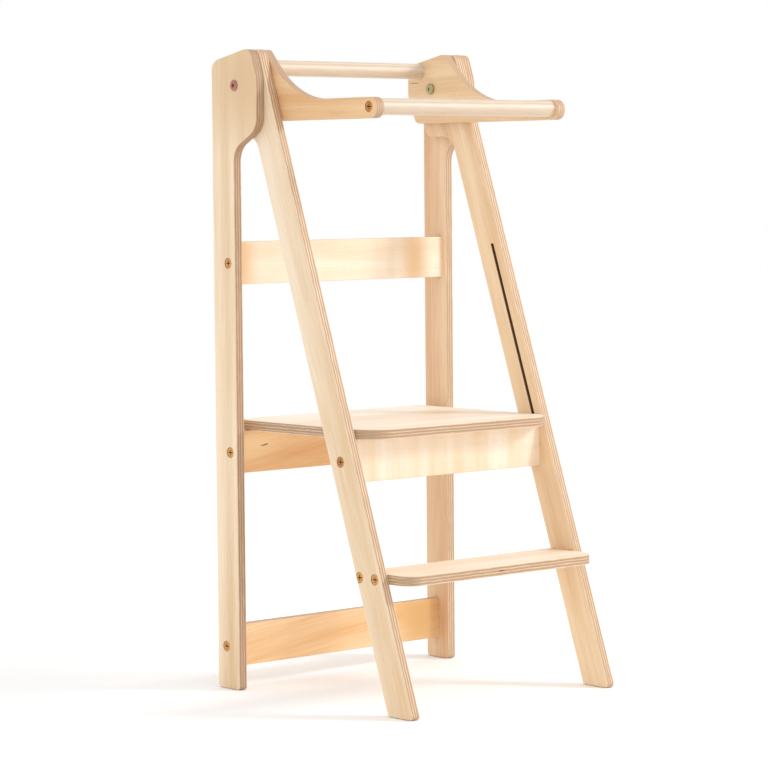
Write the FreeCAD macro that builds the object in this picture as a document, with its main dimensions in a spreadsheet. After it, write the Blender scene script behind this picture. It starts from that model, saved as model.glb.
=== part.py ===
"""Folding step ladder for a child, cut from birch plywood.

Every dimension is in millimetres.  +Z is up, the front (the climbing side) is
towards -Y, and +X is to the right when looking from the front.  The origin is
on the floor, under the middle of the unfolded ladder.

Each side of the ladder is a stack of three plywood plates on one pivot bolt:

    outermost   vertical leg of the rear frame
    middle      slanted leg of the front frame
    innermost   arm of the guard

The platform hangs on two butt hinges on the middle rail of the rear frame.
Its guide pins run in grooves in the slanted legs, so the platform swings up
while the two frames close.
"""
import FreeCAD, Part
import math
import os
import Sketcher

os.makedirs("parts", exist_ok=True)
doc = FreeCAD.newDocument("StepLadder")
V = FreeCAD.Vector

# ---------------------------------------------------------------------------
# Driving dimensions
# ---------------------------------------------------------------------------
# Heights are measured from the floor.  Depths are measured forwards from the
# rear face of the vertical legs, so a depth of 0 is the back of the ladder.
DIMENSIONS = [
    # overall
    ("overall_height", 950.0), ("overall_width", 438.0), ("overall_depth", 417.0),
    ("ply", 15.0), ("layer_gap", 1.2), ("arris", 1.5),
    # legs
    ("leg_width", 50.0), ("slant_run", 0.3443), ("toe_depth", 419.0), ("foot_radius", 5.0),
    # the heads where the three plates meet
    ("pivot_depth", 54.0), ("pivot_height", 898.0),
    ("head_depth", 104.0), ("head_crest_depth", 76.0), ("head_back_height", 934.5),
    ("head_back_radius", 17.0), ("crown_radius", 40.0),
    ("head_front_radius", 13.0), ("slant_front_radius", 10.0),
    ("brow_depth", 90.0), ("brow_height", 908.0), ("brow_radius", 60.0),
    ("shoulder_height", 833.0), ("throat_height", 804.0), ("shoulder_radius", 30.0),
    ("lobe_height", 824.0), ("lobe_throat_radius", 30.0),
    # the trimmed heel behind the pivot, which comes flush with the back when folded
    ("heel_height", 886.0), ("heel_run", 0.425), ("heel_radius", 30.0), ("heel_tip_radius", 12.0),
    # rear frame rails
    ("rail_height", 63.0), ("upper_rail_base", 605.0), ("middle_rail_base", 323.7),
    ("lower_rail_base", 32.0), ("rail_depth", 27.0), ("lower_rail_depth", 13.0),
    # front frame
    ("apron_depth", 260.0), ("step_top", 200.0), ("step_back", 297.0), ("step_front", 396.0),
    ("step_corner", 26.0), ("step_screw_back", 307.0), ("step_screw_front", 340.0),
    # platform
    ("platform_top", 402.0), ("platform_back", 5.0), ("platform_front", 312.0),
    ("platform_corner", 45.0), ("side_play", 0.6),
    # guide grooves and their pins
    ("groove_width", 6.0), ("groove_bottom_depth", 264.0), ("groove_bottom_height", 394.5),
    ("groove_top_height", 659.0), ("groove_cut", 8.0), ("pin_diameter", 5.4), ("pin_play", 0.3),
    # guard
    ("arm_base", 845.0), ("arm_top", 875.0), ("arm_front", 335.0), ("arm_crest_depth", 84.0),
    ("arm_throat_depth", 151.5), ("arm_throat_radius", 150.0),
    ("arm_front_radius", 14.9), ("arm_crest_radius", 10.0),
    ("dowel_diameter", 24.0),
    ("rear_dowel_depth", 28.0), ("rear_dowel_height", 926.0),
    ("front_dowel_depth", 317.5), ("front_dowel_height", 861.5),
    # fasteners
    ("screw_head_radius", 7.2), ("screw_seat_radius", 7.8), ("screw_shank_radius", 2.5),
    ("screw_length", 45.0), ("screw_tip", 2.5), ("screw_sink", 0.6),
    ("screw_cross_reach", 4.4), ("screw_cross_half", 0.9), ("screw_cross_depth", 3.2),
    ("bolt_radius", 4.0), ("bolt_play", 0.08), ("bolt_head_radius", 8.0), ("bolt_head_height", 2.2),
    ("hex_across", 5.0), ("bolt_hex_depth", 1.9), ("nut_hex_depth", 1.5),
    ("nut_radius", 8.0), ("nut_height", 4.0), ("nut_gap", 0.3),
    ("washer_radius", 11.0), ("washer_thickness", 0.6), ("washer_play", 0.3),
    # butt hinges of the platform
    ("hinge_spacing", 240.0), ("hinge_length", 50.0), ("hinge_leaf", 1.5), ("hinge_offset", 2.5),
    ("knuckle_radius", 2.2), ("knuckle_play", 0.3), ("hinge_pin_radius", 1.1),
    ("hinge_bore_radius", 1.16), ("rail_leaf_drop", 25.0), ("platform_leaf_reach", 17.5),
    ("hinge_screw_offset", 15.0), ("rail_leaf_screw_drop", 17.0), ("platform_leaf_screw_reach", 11.5),
    ("small_screw_head", 3.0), ("small_screw_shank", 1.5), ("small_screw_length", 12.0),
    ("small_screw_tip", 1.5), ("small_cross_reach", 1.9), ("small_cross_half", 0.4),
    ("small_cross_depth", 1.0),
]

sheet = doc.addObject("Spreadsheet::Sheet", "Params")
for row, (name, number) in enumerate(DIMENSIONS, start=1):
    sheet.set("A%d" % row, name)
    sheet.set("B%d" % row, str(number))
    sheet.setAlias("B%d" % row, name)
doc.recompute()


class Dim:
    """A length that knows both its number and the sheet expression behind it."""

    def __init__(self, value, text):
        self.value = float(value)
        self.text = text

    @staticmethod
    def of(thing):
        return thing if isinstance(thing, Dim) else Dim(thing, repr(float(thing)))

    def _join(self, other, sign, value):
        other = Dim.of(other)
        return Dim(value(self.value, other.value), "(%s %s %s)" % (self.text, sign, other.text))

    def __add__(self, other):
        return self._join(other, "+", lambda a, b: a + b)

    def __sub__(self, other):
        return self._join(other, "-", lambda a, b: a - b)

    def __mul__(self, other):
        return self._join(other, "*", lambda a, b: a * b)

    def __truediv__(self, other):
        return self._join(other, "/", lambda a, b: a / b)

    def __radd__(self, other):
        return Dim.of(other) + self

    def __rsub__(self, other):
        return Dim.of(other) - self

    def __rmul__(self, other):
        return Dim.of(other) * self

    def __neg__(self):
        return Dim(0, "0") - self

    def root(self):
        return Dim(math.sqrt(self.value), "sqrt(%s)" % self.text)


def size(name):
    """Read one driving dimension from the sheet."""
    return Dim(sheet.get(name), "Params." + name)


def bind(obj, path, dim):
    """Tie a property of obj to a sheet expression."""
    obj.setExpression(path, Dim.of(dim).text)


def settle(*objects):
    """Recompute, and stop if one of the objects did not build."""
    doc.recompute()
    for obj in objects:
        if any(word in obj.State for word in ("Invalid", "Error")):
            raise RuntimeError("%s failed to build" % obj.Label)


# ---------------------------------------------------------------------------
# Frequently used positions
# ---------------------------------------------------------------------------
ply = size("ply")
height = size("overall_height")
back_y = size("overall_depth") / 2          # Y of the rear face of the ladder
leg_outer = size("overall_width") / 2       # X of the ladder's outer face
leg_inner = leg_outer - ply                 # inner face of the vertical legs
slant_outer = leg_inner - size("layer_gap")
slant_inner = slant_outer - ply
arm_outer = slant_inner - size("layer_gap")
arm_inner = arm_outer - ply
slant = size("slant_run")                   # how far a slanted leg runs back per mm of rise
slant_width = size("leg_width") * (1 + slant * slant).root()   # leg width measured level
platform_under = size("platform_top") - ply


def slant_front(at_height):
    """Local Y of the slanted legs' front edge at a height."""
    return slant * at_height - size("toe_depth")


def heel(at_height):
    """Local Y of the trimmed heel of a slanted leg or an arm, below the pivot."""
    return -(size("heel_run") * (size("heel_height") - at_height))


# ---------------------------------------------------------------------------
# Modelling helpers
# ---------------------------------------------------------------------------
def plane(body, role):
    return [item for item in body.Origin.OriginFeatures if item.Role == role][0]


def new_body(name, x=0, y=0, z=0):
    body = doc.addObject("PartDesign::Body", name)
    body.Label = name
    for axis, dim in (("x", x), ("y", y), ("z", z)):
        bind(body, "Placement.Base." + axis, dim)
    return body


def polygon(body, name, role, points, lift=0):
    """A closed outline on an origin plane; each corner is held by two sheet dimensions."""
    sketch = body.newObject("Sketcher::SketchObject", name)
    sketch.AttachmentSupport = [(plane(body, role), "")]
    sketch.MapMode = "FlatFace"
    bind(sketch, "AttachmentOffset.Base.z", lift)
    corners = [(Dim.of(u), Dim.of(v)) for u, v in points]
    count = len(corners)
    for i in range(count):
        start, end = corners[i], corners[(i + 1) % count]
        sketch.addGeometry(Part.LineSegment(V(start[0].value, start[1].value, 0),
                                            V(end[0].value, end[1].value, 0)), False)
    for i in range(count):
        sketch.addConstraint(Sketcher.Constraint("Coincident", i, 2, (i + 1) % count, 1))
    for i, (u, v) in enumerate(corners):
        for kind, dim, axis in (("DistanceX", u, -2), ("DistanceY", v, -1)):
            if abs(dim.value) < 1e-9:
                sketch.addConstraint(Sketcher.Constraint("PointOnObject", i, 1, axis))
            else:
                index = sketch.addConstraint(
                    Sketcher.Constraint(kind, -1, 1, i, 1, dim.value))
                bind(sketch, "Constraints[%d]" % index, dim)
    return sketch


def pad(body, sketch, length, name="Board"):
    feature = body.newObject("PartDesign::Pad", name)
    feature.Profile = sketch
    bind(feature, "Length", length)
    sketch.Visibility = False
    settle(feature)
    return feature


def pocket(body, sketch, length, name, towards_plus=False, taper=0.0):
    """Cut a sketch into the body and check that it really removed material."""
    before = body.Tip.Shape.Volume
    feature = body.newObject("PartDesign::Pocket", name)
    feature.Profile = sketch
    bind(feature, "Length", length)
    feature.Reversed = towards_plus
    feature.TaperAngle = taper
    settle(feature)
    if feature.Shape.Volume > before - 1.0:
        raise RuntimeError("%s of %s cuts nothing" % (name, body.Label))
    return feature


def edges_where(shape, test):
    return ["Edge%d" % (i + 1) for i, edge in enumerate(shape.Edges) if test(edge)]


def round_edges(body, names, radius, name):
    if not names:
        raise RuntimeError("no edges to round on " + body.Label)
    board = body.Tip
    feature = body.newObject("PartDesign::Fillet", name)
    feature.Base = (board, names)
    bind(feature, "Radius", radius)
    settle(feature)
    return feature


def round_corner(body, axis, u, v, radius, name):
    """Round the one edge parallel to an axis that passes through (u, v) of the other two."""
    others = [k for k in range(3) if k != axis]
    u, v = Dim.of(u), Dim.of(v)

    def on_corner(edge):
        a, b = edge.firstVertex().Point, edge.lastVertex().Point
        return (abs(a[axis] - b[axis]) > 1.0
                and all(abs(p[others[0]] - u.value) < 0.01 and abs(p[others[1]] - v.value) < 0.01
                        for p in (a, b)))

    round_edges(body, edges_where(body.Tip.Shape, on_corner), radius, name)


def soften_outline(body, axis, faces):
    """Break the arris all round the two faces of a board."""
    def on_face(edge):
        box = edge.BoundBox
        low = (box.XMin, box.YMin, box.ZMin)[axis]
        high = (box.XMax, box.YMax, box.ZMax)[axis]
        return high - low < 1e-4 and any(abs(low - f.value) < 1e-3 for f in faces)

    round_edges(body, edges_where(body.Tip.Shape, on_face), size("arris"), "Arris")


def side_plate(name, outline, corners, x):
    """A plywood plate that stands in the YZ plane, with its outline's corners rounded."""
    body = new_body(name, x=x, y=back_y)
    sketch = polygon(body, "Outline", "YZ_Plane", outline)
    pad(body, sketch, ply)
    for number, (index, radius) in enumerate(corners):
        u, v = outline[index]
        round_corner(body, 0, u, v, size(radius), "Corner%d" % (number + 1))
    soften_outline(body, 0, (Dim.of(0), ply))
    return body


def rod_x(name, radius, length, x, depth, z, towards=1):
    """A cylinder along X, placed by its depth in front of the rear face and its height."""
    rod = doc.addObject("Part::Cylinder", name)
    bind(rod, "Radius", radius)
    bind(rod, "Height", length)
    rod.Placement.Rotation = FreeCAD.Rotation(V(0, 1, 0), 90 * towards)
    bind(rod, "Placement.Base.x", x)
    bind(rod, "Placement.Base.y", back_y - depth)
    bind(rod, "Placement.Base.z", z)
    return rod


def cone_x(name, wide, narrow, length, x, depth, z, towards):
    cone = doc.addObject("Part::Cone", name)
    bind(cone, "Radius1", wide)
    bind(cone, "Radius2", narrow)
    bind(cone, "Height", length)
    cone.Placement.Rotation = FreeCAD.Rotation(V(0, 1, 0), 90 * towards)
    bind(cone, "Placement.Base.x", x)
    bind(cone, "Placement.Base.y", back_y - depth)
    bind(cone, "Placement.Base.z", z)
    return cone


def block(name, x, y, z, dx, dy, dz):
    box = doc.addObject("Part::Box", name)
    for path, dim in (("Length", dx), ("Width", dy), ("Height", dz),
                      ("Placement.Base.x", x), ("Placement.Base.y", y), ("Placement.Base.z", z)):
        bind(box, path, dim)
    return box


def fuse(name, pieces):
    joined = doc.addObject("Part::MultiFuse", name)
    joined.Shapes = pieces
    joined.Refine = True
    settle(joined)
    return joined


def cut(label, base, tools):
    """Take tools from a base; the result carries the piece's own label."""
    tool = tools[0] if len(tools) == 1 else fuse(label + "_tools", tools)
    if base.Label == label:
        base.Label = label + "_blank"
    result = doc.addObject("Part::Cut", label)
    result.Base = base
    result.Tool = tool
    settle(result)
    result.Label = label
    if result.Shape.Volume > base.Shape.Volume - 0.5:
        raise RuntimeError("nothing was cut from " + label)
    return result


def group(label, master, places):
    """Copies of one master piece, kept as separate solids under one label."""
    copies = []
    for number, (rotation, x, y, z) in enumerate(places):
        copy = doc.addObject("App::Link", "%s_%d" % (label, number + 1))
        copy.LinkedObject = master
        copy.Placement.Rotation = rotation
        for axis, dim in (("x", x), ("y", y), ("z", z)):
            bind(copy, "Placement.Base." + axis, dim)
        copies.append(copy)
    compound = doc.addObject("Part::Compound", label)
    compound.Label = label
    compound.Links = copies
    settle(compound)
    return compound


SIDES = (("left", -1), ("right", 1))
FACE_RIGHT = FreeCAD.Rotation()                      # a fastener's head looks towards +X
FACE_LEFT = FreeCAD.Rotation(V(0, 0, 1), 180)        # its head looks towards -X
FACE_REAR = FreeCAD.Rotation(V(0, 0, 1), 90)         # its head looks towards +Y
FACE_DOWN = FreeCAD.Rotation(V(0, 1, 0), 90)         # its head looks towards -Z
pieces = []


def keep(obj):
    pieces.append(obj)
    return obj


def outwards(side):
    return FACE_RIGHT if side > 0 else FACE_LEFT


def plate_x(side, inner, outer):
    """Lower X face of a plate that spans inner..outer on one side."""
    return inner if side > 0 else -outer


# ---------------------------------------------------------------------------
# Fastener masters: heads at local x = 0, shanks towards -X
# ---------------------------------------------------------------------------
def turned(name, profile):
    """A body of revolution about the X axis."""
    body = doc.addObject("PartDesign::Body", name)
    sketch = polygon(body, "Profile", "XY_Plane", profile)
    feature = body.newObject("PartDesign::Revolution", "Turned")
    feature.Profile = sketch
    feature.ReferenceAxis = (sketch, ["H_Axis"])
    feature.Angle = 360
    settle(feature)
    return body


RECESS_TAPER = -12.0                                 # degrees; narrower at the bottom


def cross_recess(body, kind, lift):
    """A cross-head driver recess; kind is the first word of its three driving dimensions."""
    reach, half = size(kind + "_cross_reach"), size(kind + "_cross_half")
    outline = [(half, half), (half, reach), (-half, reach), (-half, half), (-reach, half),
               (-reach, -half), (-half, -half), (-half, -reach), (half, -reach),
               (half, -half), (reach, -half), (reach, half)]
    pocket(body, polygon(body, "Cross", "YZ_Plane", outline, lift), size(kind + "_cross_depth"),
           "Recess", taper=RECESS_TAPER)


def hex_recess(body, depth, lift):
    """A hexagon socket; its corners lie on a circle of across / sqrt(3)."""
    r = size("hex_across") / math.sqrt(3.0)
    outline = [(r * math.cos(math.radians(60 * k + 30)), r * math.sin(math.radians(60 * k + 30)))
               for k in range(6)]
    pocket(body, polygon(body, "Hexagon", "YZ_Plane", outline, lift), depth, "Socket")


head_r, seat_r, shank_r = (size("screw_head_radius"), size("screw_seat_radius"),
                           size("screw_shank_radius"))
sink = size("screw_sink")
seat_depth = seat_r - shank_r                        # 90 degree countersink
screw_master = turned("screw_master", [
    (-sink, 0), (-sink, head_r), (-seat_depth, shank_r),
    (size("screw_tip") - size("screw_length"), shank_r), (-size("screw_length"), 0)])
cross_recess(screw_master, "screw", -sink)

small_head, small_shank = size("small_screw_head"), size("small_screw_shank")
small_master = turned("small_screw_master", [
    (0, 0), (0, small_head), (small_shank - small_head, small_shank),
    (size("small_screw_tip") - size("small_screw_length"), small_shank),
    (-size("small_screw_length"), 0)])
cross_recess(small_master, "small", 0)

bolt_r, bolt_head_r, bolt_head = (size("bolt_radius"), size("bolt_head_radius"),
                                  size("bolt_head_height"))
nut_h, nut_r, nut_gap = size("nut_height"), size("nut_radius"), size("nut_gap")
bolt_reach = leg_outer - arm_inner + nut_gap + nut_h / 2
bolt_master = turned("bolt_master", [
    (bolt_head, 0), (bolt_head, bolt_head_r - 1.8), (bolt_head - 0.5, bolt_head_r - 0.7),
    (bolt_head - 1.2, bolt_head_r), (0, bolt_head_r), (0, bolt_r),
    (-bolt_reach, bolt_r), (-bolt_reach, 0)])
hex_recess(bolt_master, size("bolt_hex_depth"), bolt_head)

nut_master = turned("nut_master", [
    (0, 0), (0, nut_r - 1.2), (-0.9, nut_r), (-nut_h, nut_r), (-nut_h, bolt_r),
    (-nut_h / 2, bolt_r), (-nut_h / 2, 0)])
hex_recess(nut_master, size("nut_hex_depth"), 0)

washer_r, washer_t = size("washer_radius"), size("washer_thickness")
washer_master = turned("washer_master", [
    (0, bolt_r), (0, washer_r), (-washer_t, washer_r), (-washer_t, bolt_r)])

# ---------------------------------------------------------------------------
# Places of the butt hinges' screws, which the middle rail and the platform share
# ---------------------------------------------------------------------------
INTO_RAIL = FreeCAD.Rotation(V(1, 0, 0), 90)         # +Z turned to -Y
INTO_DECK = FreeCAD.Rotation()                       # +Z
leaf = size("hinge_leaf")
rail_back_y = back_y - size("rail_depth")
axis_y = rail_back_y + size("hinge_offset")          # the hinges' axis
axis_z = platform_under - size("hinge_offset")
hinge_x = [size("hinge_spacing") / 2 * k for k in (-1, 1)]
screw_dx = [size("hinge_screw_offset") * k for k in (-1, 1)]
screw_y = axis_y + size("platform_leaf_screw_reach")
screw_z = platform_under - size("rail_leaf_screw_drop")


def hinge_screw_way(name, rotation, x, y, z, seated):
    """Hole for one hinge screw, with its countersink where it passes through a leaf."""
    way = doc.addObject("Part::Cylinder", name + "_way")
    bind(way, "Radius", small_shank)
    bind(way, "Height", size("small_screw_length"))
    made = [way]
    if seated:
        seat = doc.addObject("Part::Cone", name + "_seat")
        bind(seat, "Radius1", small_head)
        bind(seat, "Radius2", small_shank)
        bind(seat, "Height", small_head - small_shank)
        made.append(seat)
    for item in made:
        item.Placement.Rotation = rotation
        for axis, dim in (("x", x), ("y", y), ("z", z)):
            bind(item, "Placement.Base." + axis, dim)
    return made


# ---------------------------------------------------------------------------
# Rear frame: two vertical legs and three rails
# ---------------------------------------------------------------------------
pivot_d, pivot_z = size("pivot_depth"), size("pivot_height")
rail_h = size("rail_height")
rail_mid = rail_h / 2
# name, height of the bottom edge, depth of the rear face
RAILS = [("rail_upper", size("upper_rail_base"), size("rail_depth")),
         ("rail_middle", size("middle_rail_base"), size("rail_depth")),
         ("rail_lower", size("lower_rail_base"), size("lower_rail_depth"))]
rail_screw_spots = [(depth + ply / 2, base + rail_mid) for _, base, depth in RAILS]
bore_r = bolt_r + size("bolt_play")


def screw_seat(tag, side, depth, z, face):
    """Countersunk clearance cut for one screw whose head is in an outward face at |x| = face."""
    x = face * side
    return [cone_x("seat_" + tag, seat_r, shank_r, seat_depth, x, depth, z, -side),
            rod_x("way_" + tag, shank_r, size("screw_length"), x, depth, z, -side)]


vertical_outline = [
    (-size("leg_width"), 0), (0, 0), (0, size("head_back_height")),
    (-size("head_crest_depth"), height), (-size("brow_depth"), height),
    (-size("head_depth"), size("brow_height")), (-size("head_depth"), size("shoulder_height")),
    (-size("leg_width"), size("throat_height"))]
vertical_corners = [(0, "foot_radius"), (1, "foot_radius"), (2, "head_back_radius"),
                    (3, "crown_radius"), (4, "head_front_radius"), (5, "brow_radius"),
                    (6, "shoulder_radius"), (7, "shoulder_radius")]
for word, side in SIDES:
    label = "vertical_leg_" + word
    leg = side_plate(label, vertical_outline, vertical_corners,
                     plate_x(side, leg_inner, leg_outer))
    tools = [rod_x("bolt_way_" + label, bolt_r, ply + 2, (leg_outer + 1) * side,
                   pivot_d, pivot_z, -side)]
    for number, (depth, z) in enumerate(rail_screw_spots):
        tools += screw_seat("%s_%d" % (label, number), side, depth, z, leg_outer)
    keep(cut(label, leg, tools))

for (name, base, depth), (spot_d, spot_z) in zip(RAILS, rail_screw_spots):
    # the board's face lies in the XZ plane, and its thickness runs forwards
    body = new_body(name, y=back_y - depth, z=base)
    sketch = polygon(body, "Face", "XZ_Plane",
                     [(-leg_inner, 0), (leg_inner, 0), (leg_inner, rail_h), (-leg_inner, rail_h)])
    pad(body, sketch, ply)
    long_edges = edges_where(body.Tip.Shape, lambda e: e.BoundBox.XLength > 100)
    round_edges(body, long_edges, size("arris"), "Arris")
    ways = [rod_x("pilot_%s_%s" % (name, word), shank_r, size("screw_length"),
                  leg_outer * side, spot_d, spot_z, -side) for word, side in SIDES]
    if name == "rail_middle":
        # pilot holes for the hinge screws, in the rear face
        for number, centre in enumerate(hinge_x):
            for sub, dx in enumerate(screw_dx):
                ways += hinge_screw_way("rail_pilot_%d_%d" % (number, sub), INTO_RAIL, centre + dx,
                                        rail_back_y + leaf, screw_z, False)
    keep(cut(name, body, ways))

keep(group("rail_screws", screw_master,
           [(outwards(side), leg_outer * side, back_y - depth, z)
            for _, side in SIDES for depth, z in rail_screw_spots]))

# ---------------------------------------------------------------------------
# Pivots: a bolt from the outside, washers between the plates, a nut inside
# ---------------------------------------------------------------------------
keep(group("pivot_bolts", bolt_master,
           [(outwards(side), leg_outer * side, back_y - pivot_d, pivot_z) for _, side in SIDES]))
keep(group("pivot_nuts", nut_master,
           [(outwards(-side), (arm_inner - nut_gap - nut_h) * side, back_y - pivot_d, pivot_z)
            for _, side in SIDES]))
washer_faces = (leg_inner - size("washer_play"), slant_inner - size("washer_play"))
keep(group("pivot_washers", washer_master,
           [(outwards(side), face * side, back_y - pivot_d, pivot_z)
            for _, side in SIDES for face in washer_faces]))

# ---------------------------------------------------------------------------
# Front frame: two slanted legs, the apron under the platform, the lower step
# ---------------------------------------------------------------------------
lobe_z = size("lobe_height")
slant_outline = [
    (slant_front(Dim.of(0)), 0), (slant_front(Dim.of(0)) + slant_width, 0),
    (slant_front(lobe_z) + slant_width, lobe_z), (heel(lobe_z), lobe_z),
    (0, size("heel_height")), (0, size("head_back_height")),
    (-size("head_crest_depth"), height), (slant_front(height), height)]
slant_corners = [(0, "foot_radius"), (1, "foot_radius"), (2, "lobe_throat_radius"),
                 (3, "heel_tip_radius"), (4, "heel_radius"), (5, "head_back_radius"),
                 (6, "crown_radius"), (7, "slant_front_radius")]
groove_w = size("groove_width") * (1 + slant * slant).root() / 2
groove_lo, groove_hi = size("groove_bottom_height"), size("groove_top_height")
groove_y_lo = -size("groove_bottom_depth")
groove_y_hi = groove_y_lo + slant * (groove_hi - groove_lo)
apron_spot = (size("apron_depth") + ply / 2, size("middle_rail_base") + rail_mid)
step_spots = [(size("step_screw_back"), size("step_top") - ply / 2),
              (size("step_screw_front"), size("step_top") - ply / 2)]

for word, side in SIDES:
    label = "slanted_leg_" + word
    leg = side_plate(label, slant_outline, slant_corners,
                     plate_x(side, slant_inner, slant_outer))
    # the guide groove is routed into the inner face, along the leg
    drop = size("groove_width") / 2
    outline = [(groove_y_lo - groove_w - slant * drop, groove_lo - drop),
               (groove_y_lo + groove_w - slant * drop, groove_lo - drop),
               (groove_y_hi + groove_w, groove_hi), (groove_y_hi - groove_w, groove_hi)]
    if side > 0:
        route = polygon(leg, "Groove", "YZ_Plane", outline)
        pocket(leg, route, size("groove_cut"), "GuideGroove", towards_plus=True)
    else:
        route = polygon(leg, "Groove", "YZ_Plane", outline, ply)
        pocket(leg, route, size("groove_cut"), "GuideGroove")
    tools = [rod_x("bore_" + label, bore_r, ply + 2, (slant_outer + 1) * side,
                   pivot_d, pivot_z, -side)]
    for number, (depth, z) in enumerate([apron_spot] + step_spots):
        tools += screw_seat("%s_%d" % (label, number), side, depth, z, slant_outer)
    keep(cut(label, leg, tools))

apron = new_body("front_apron", y=back_y - size("apron_depth"), z=size("middle_rail_base"))
sketch = polygon(apron, "Face", "XZ_Plane",
                 [(-slant_inner, 0), (slant_inner, 0), (slant_inner, rail_h),
                  (-slant_inner, rail_h)])
pad(apron, sketch, ply)
round_edges(apron, edges_where(apron.Tip.Shape, lambda e: e.BoundBox.XLength > 100),
            size("arris"), "Arris")
keep(cut("front_apron", apron,
         [rod_x("pilot_apron_" + word, shank_r, size("screw_length"), slant_outer * side,
                apron_spot[0], apron_spot[1], -side) for word, side in SIDES]))

step = new_body("lower_step", y=back_y, z=size("step_top") - ply)
step_back, step_front = -size("step_back"), -size("step_front")
sketch = polygon(step, "Tread", "XY_Plane",
                 [(-slant_inner, step_front), (slant_inner, step_front),
                  (slant_inner, step_back), (-slant_inner, step_back)])
pad(step, sketch, ply)
for number, x in enumerate((-slant_inner, slant_inner)):
    round_corner(step, 2, x, step_front, size("step_corner"), "Corner%d" % (number + 1))
soften_outline(step, 2, (Dim.of(0), ply))
keep(cut("lower_step", step,
         [rod_x("pilot_step_%s_%d" % (word, number), shank_r, size("screw_length"),
                slant_outer * side, depth, z, -side)
          for word, side in SIDES for number, (depth, z) in enumerate(step_spots)]))

keep(group("apron_screws", screw_master,
           [(outwards(side), slant_outer * side, back_y - apron_spot[0], apron_spot[1])
            for _, side in SIDES]))
keep(group("step_screws", screw_master,
           [(outwards(side), slant_outer * side, back_y - depth, z)
            for _, side in SIDES for depth, z in step_spots]))

# ---------------------------------------------------------------------------
# Platform, on two butt hinges behind the middle rail
# ---------------------------------------------------------------------------
platform_half = slant_inner - size("side_play")
platform = new_body("platform_board", y=back_y, z=platform_under)
back_edge, front_edge = -size("platform_back"), -size("platform_front")
sketch = polygon(platform, "Deck", "XY_Plane",
                 [(-platform_half, front_edge), (platform_half, front_edge),
                  (platform_half, back_edge), (-platform_half, back_edge)])
pad(platform, sketch, ply)
for number, x in enumerate((-platform_half, platform_half)):
    round_corner(platform, 2, x, front_edge, size("platform_corner"), "Corner%d" % (number + 1))
soften_outline(platform, 2, (Dim.of(0), ply))

half_hinge = size("hinge_length") / 2
gap = size("knuckle_play")
middle_half = half_hinge / 2                        # half length of the middle knuckle
drop, reach = size("rail_leaf_drop"), size("platform_leaf_reach")


def knuckle(name, x, length, radius):
    rod = doc.addObject("Part::Cylinder", name)
    bind(rod, "Radius", radius)
    bind(rod, "Height", length)
    rod.Placement.Rotation = FreeCAD.Rotation(V(0, 1, 0), 90)
    bind(rod, "Placement.Base.x", x)
    bind(rod, "Placement.Base.y", axis_y)
    bind(rod, "Placement.Base.z", axis_z)
    return rod


rail_leaves, deck_leaves, pins = [], [], []
for number, centre in enumerate(hinge_x):
    tag = "hinge%d" % (number + 1)
    start = centre - half_hinge
    # leaf on the rear face of the rail, with the two outer knuckles
    parts = [block(tag + "_rail_leaf", start, rail_back_y, axis_z - drop,
                   half_hinge * 2, leaf, drop - size("knuckle_radius") - gap)]
    for k, x in enumerate((start, centre + middle_half)):
        parts.append(block("%s_rail_tongue%d" % (tag, k), x, rail_back_y, axis_z - drop,
                           half_hinge - middle_half, leaf, drop))
        parts.append(knuckle("%s_rail_knuckle%d" % (tag, k), x, half_hinge - middle_half,
                             size("knuckle_radius")))
    body = fuse(tag + "_rail_leaf_body", parts)
    holes = [knuckle(tag + "_rail_bore", start - 1, half_hinge * 2 + 2, size("hinge_pin_radius"))]
    for k, dx in enumerate(screw_dx):
        holes += hinge_screw_way("%s_rail_screw%d" % (tag, k), INTO_RAIL,
                                 centre + dx, rail_back_y + leaf, screw_z, True)
    rail_leaves.append(cut(tag + "_rail_part", body, holes))

    # leaf under the platform, with the middle knuckle
    parts = [block(tag + "_deck_leaf", start, axis_y + size("knuckle_radius") + gap,
                   platform_under - leaf, half_hinge * 2,
                   reach - size("knuckle_radius") - gap, leaf),
             block(tag + "_deck_tongue", centre - middle_half + gap, axis_y,
                   platform_under - leaf, (middle_half - gap) * 2, reach, leaf),
             knuckle(tag + "_deck_knuckle", centre - middle_half + gap,
                     (middle_half - gap) * 2, size("knuckle_radius"))]
    body = fuse(tag + "_deck_leaf_body", parts)
    holes = [knuckle(tag + "_deck_bore", start - 1, half_hinge * 2 + 2,
                     size("hinge_bore_radius"))]
    for k, dx in enumerate(screw_dx):
        holes += hinge_screw_way("%s_deck_screw%d" % (tag, k), INTO_DECK,
                                 centre + dx, screw_y, platform_under - leaf, True)
    deck_leaves.append(cut(tag + "_deck_part", body, holes))
    pins.append(knuckle(tag + "_pin", start, half_hinge * 2, size("hinge_pin_radius")))


def together(label, members):
    compound = doc.addObject("Part::Compound", label)
    compound.Label = label
    compound.Links = members
    settle(compound)
    return keep(compound)


keep(cut("platform_board", platform,
         [way for number, centre in enumerate(hinge_x) for k, dx in enumerate(screw_dx)
          for way in hinge_screw_way("deck_pilot%d_%d" % (number, k), INTO_DECK, centre + dx,
                                     screw_y, platform_under - leaf, False)]))
together("rail_hinge_leaves", rail_leaves)
together("platform_hinge_leaves", deck_leaves)
together("hinge_pins", pins)
keep(group("rail_hinge_screws", small_master,
           [(FACE_REAR, centre + dx, rail_back_y + leaf, screw_z)
            for centre in hinge_x for dx in screw_dx]))
keep(group("platform_hinge_screws", small_master,
           [(FACE_DOWN, centre + dx, screw_y, platform_under - leaf)
            for centre in hinge_x for dx in screw_dx]))

# guide pins: short round studs that ride in the grooves
for word, side in SIDES:
    stud = rod_x("guide_pin_" + word, size("pin_diameter") / 2,
                 size("groove_cut") - size("pin_play") * 2, (slant_inner - size("pin_play")) * side,
                 size("groove_bottom_depth"), groove_lo, side)
    stud.Label = "guide_pin_" + word
    keep(stud)

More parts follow.
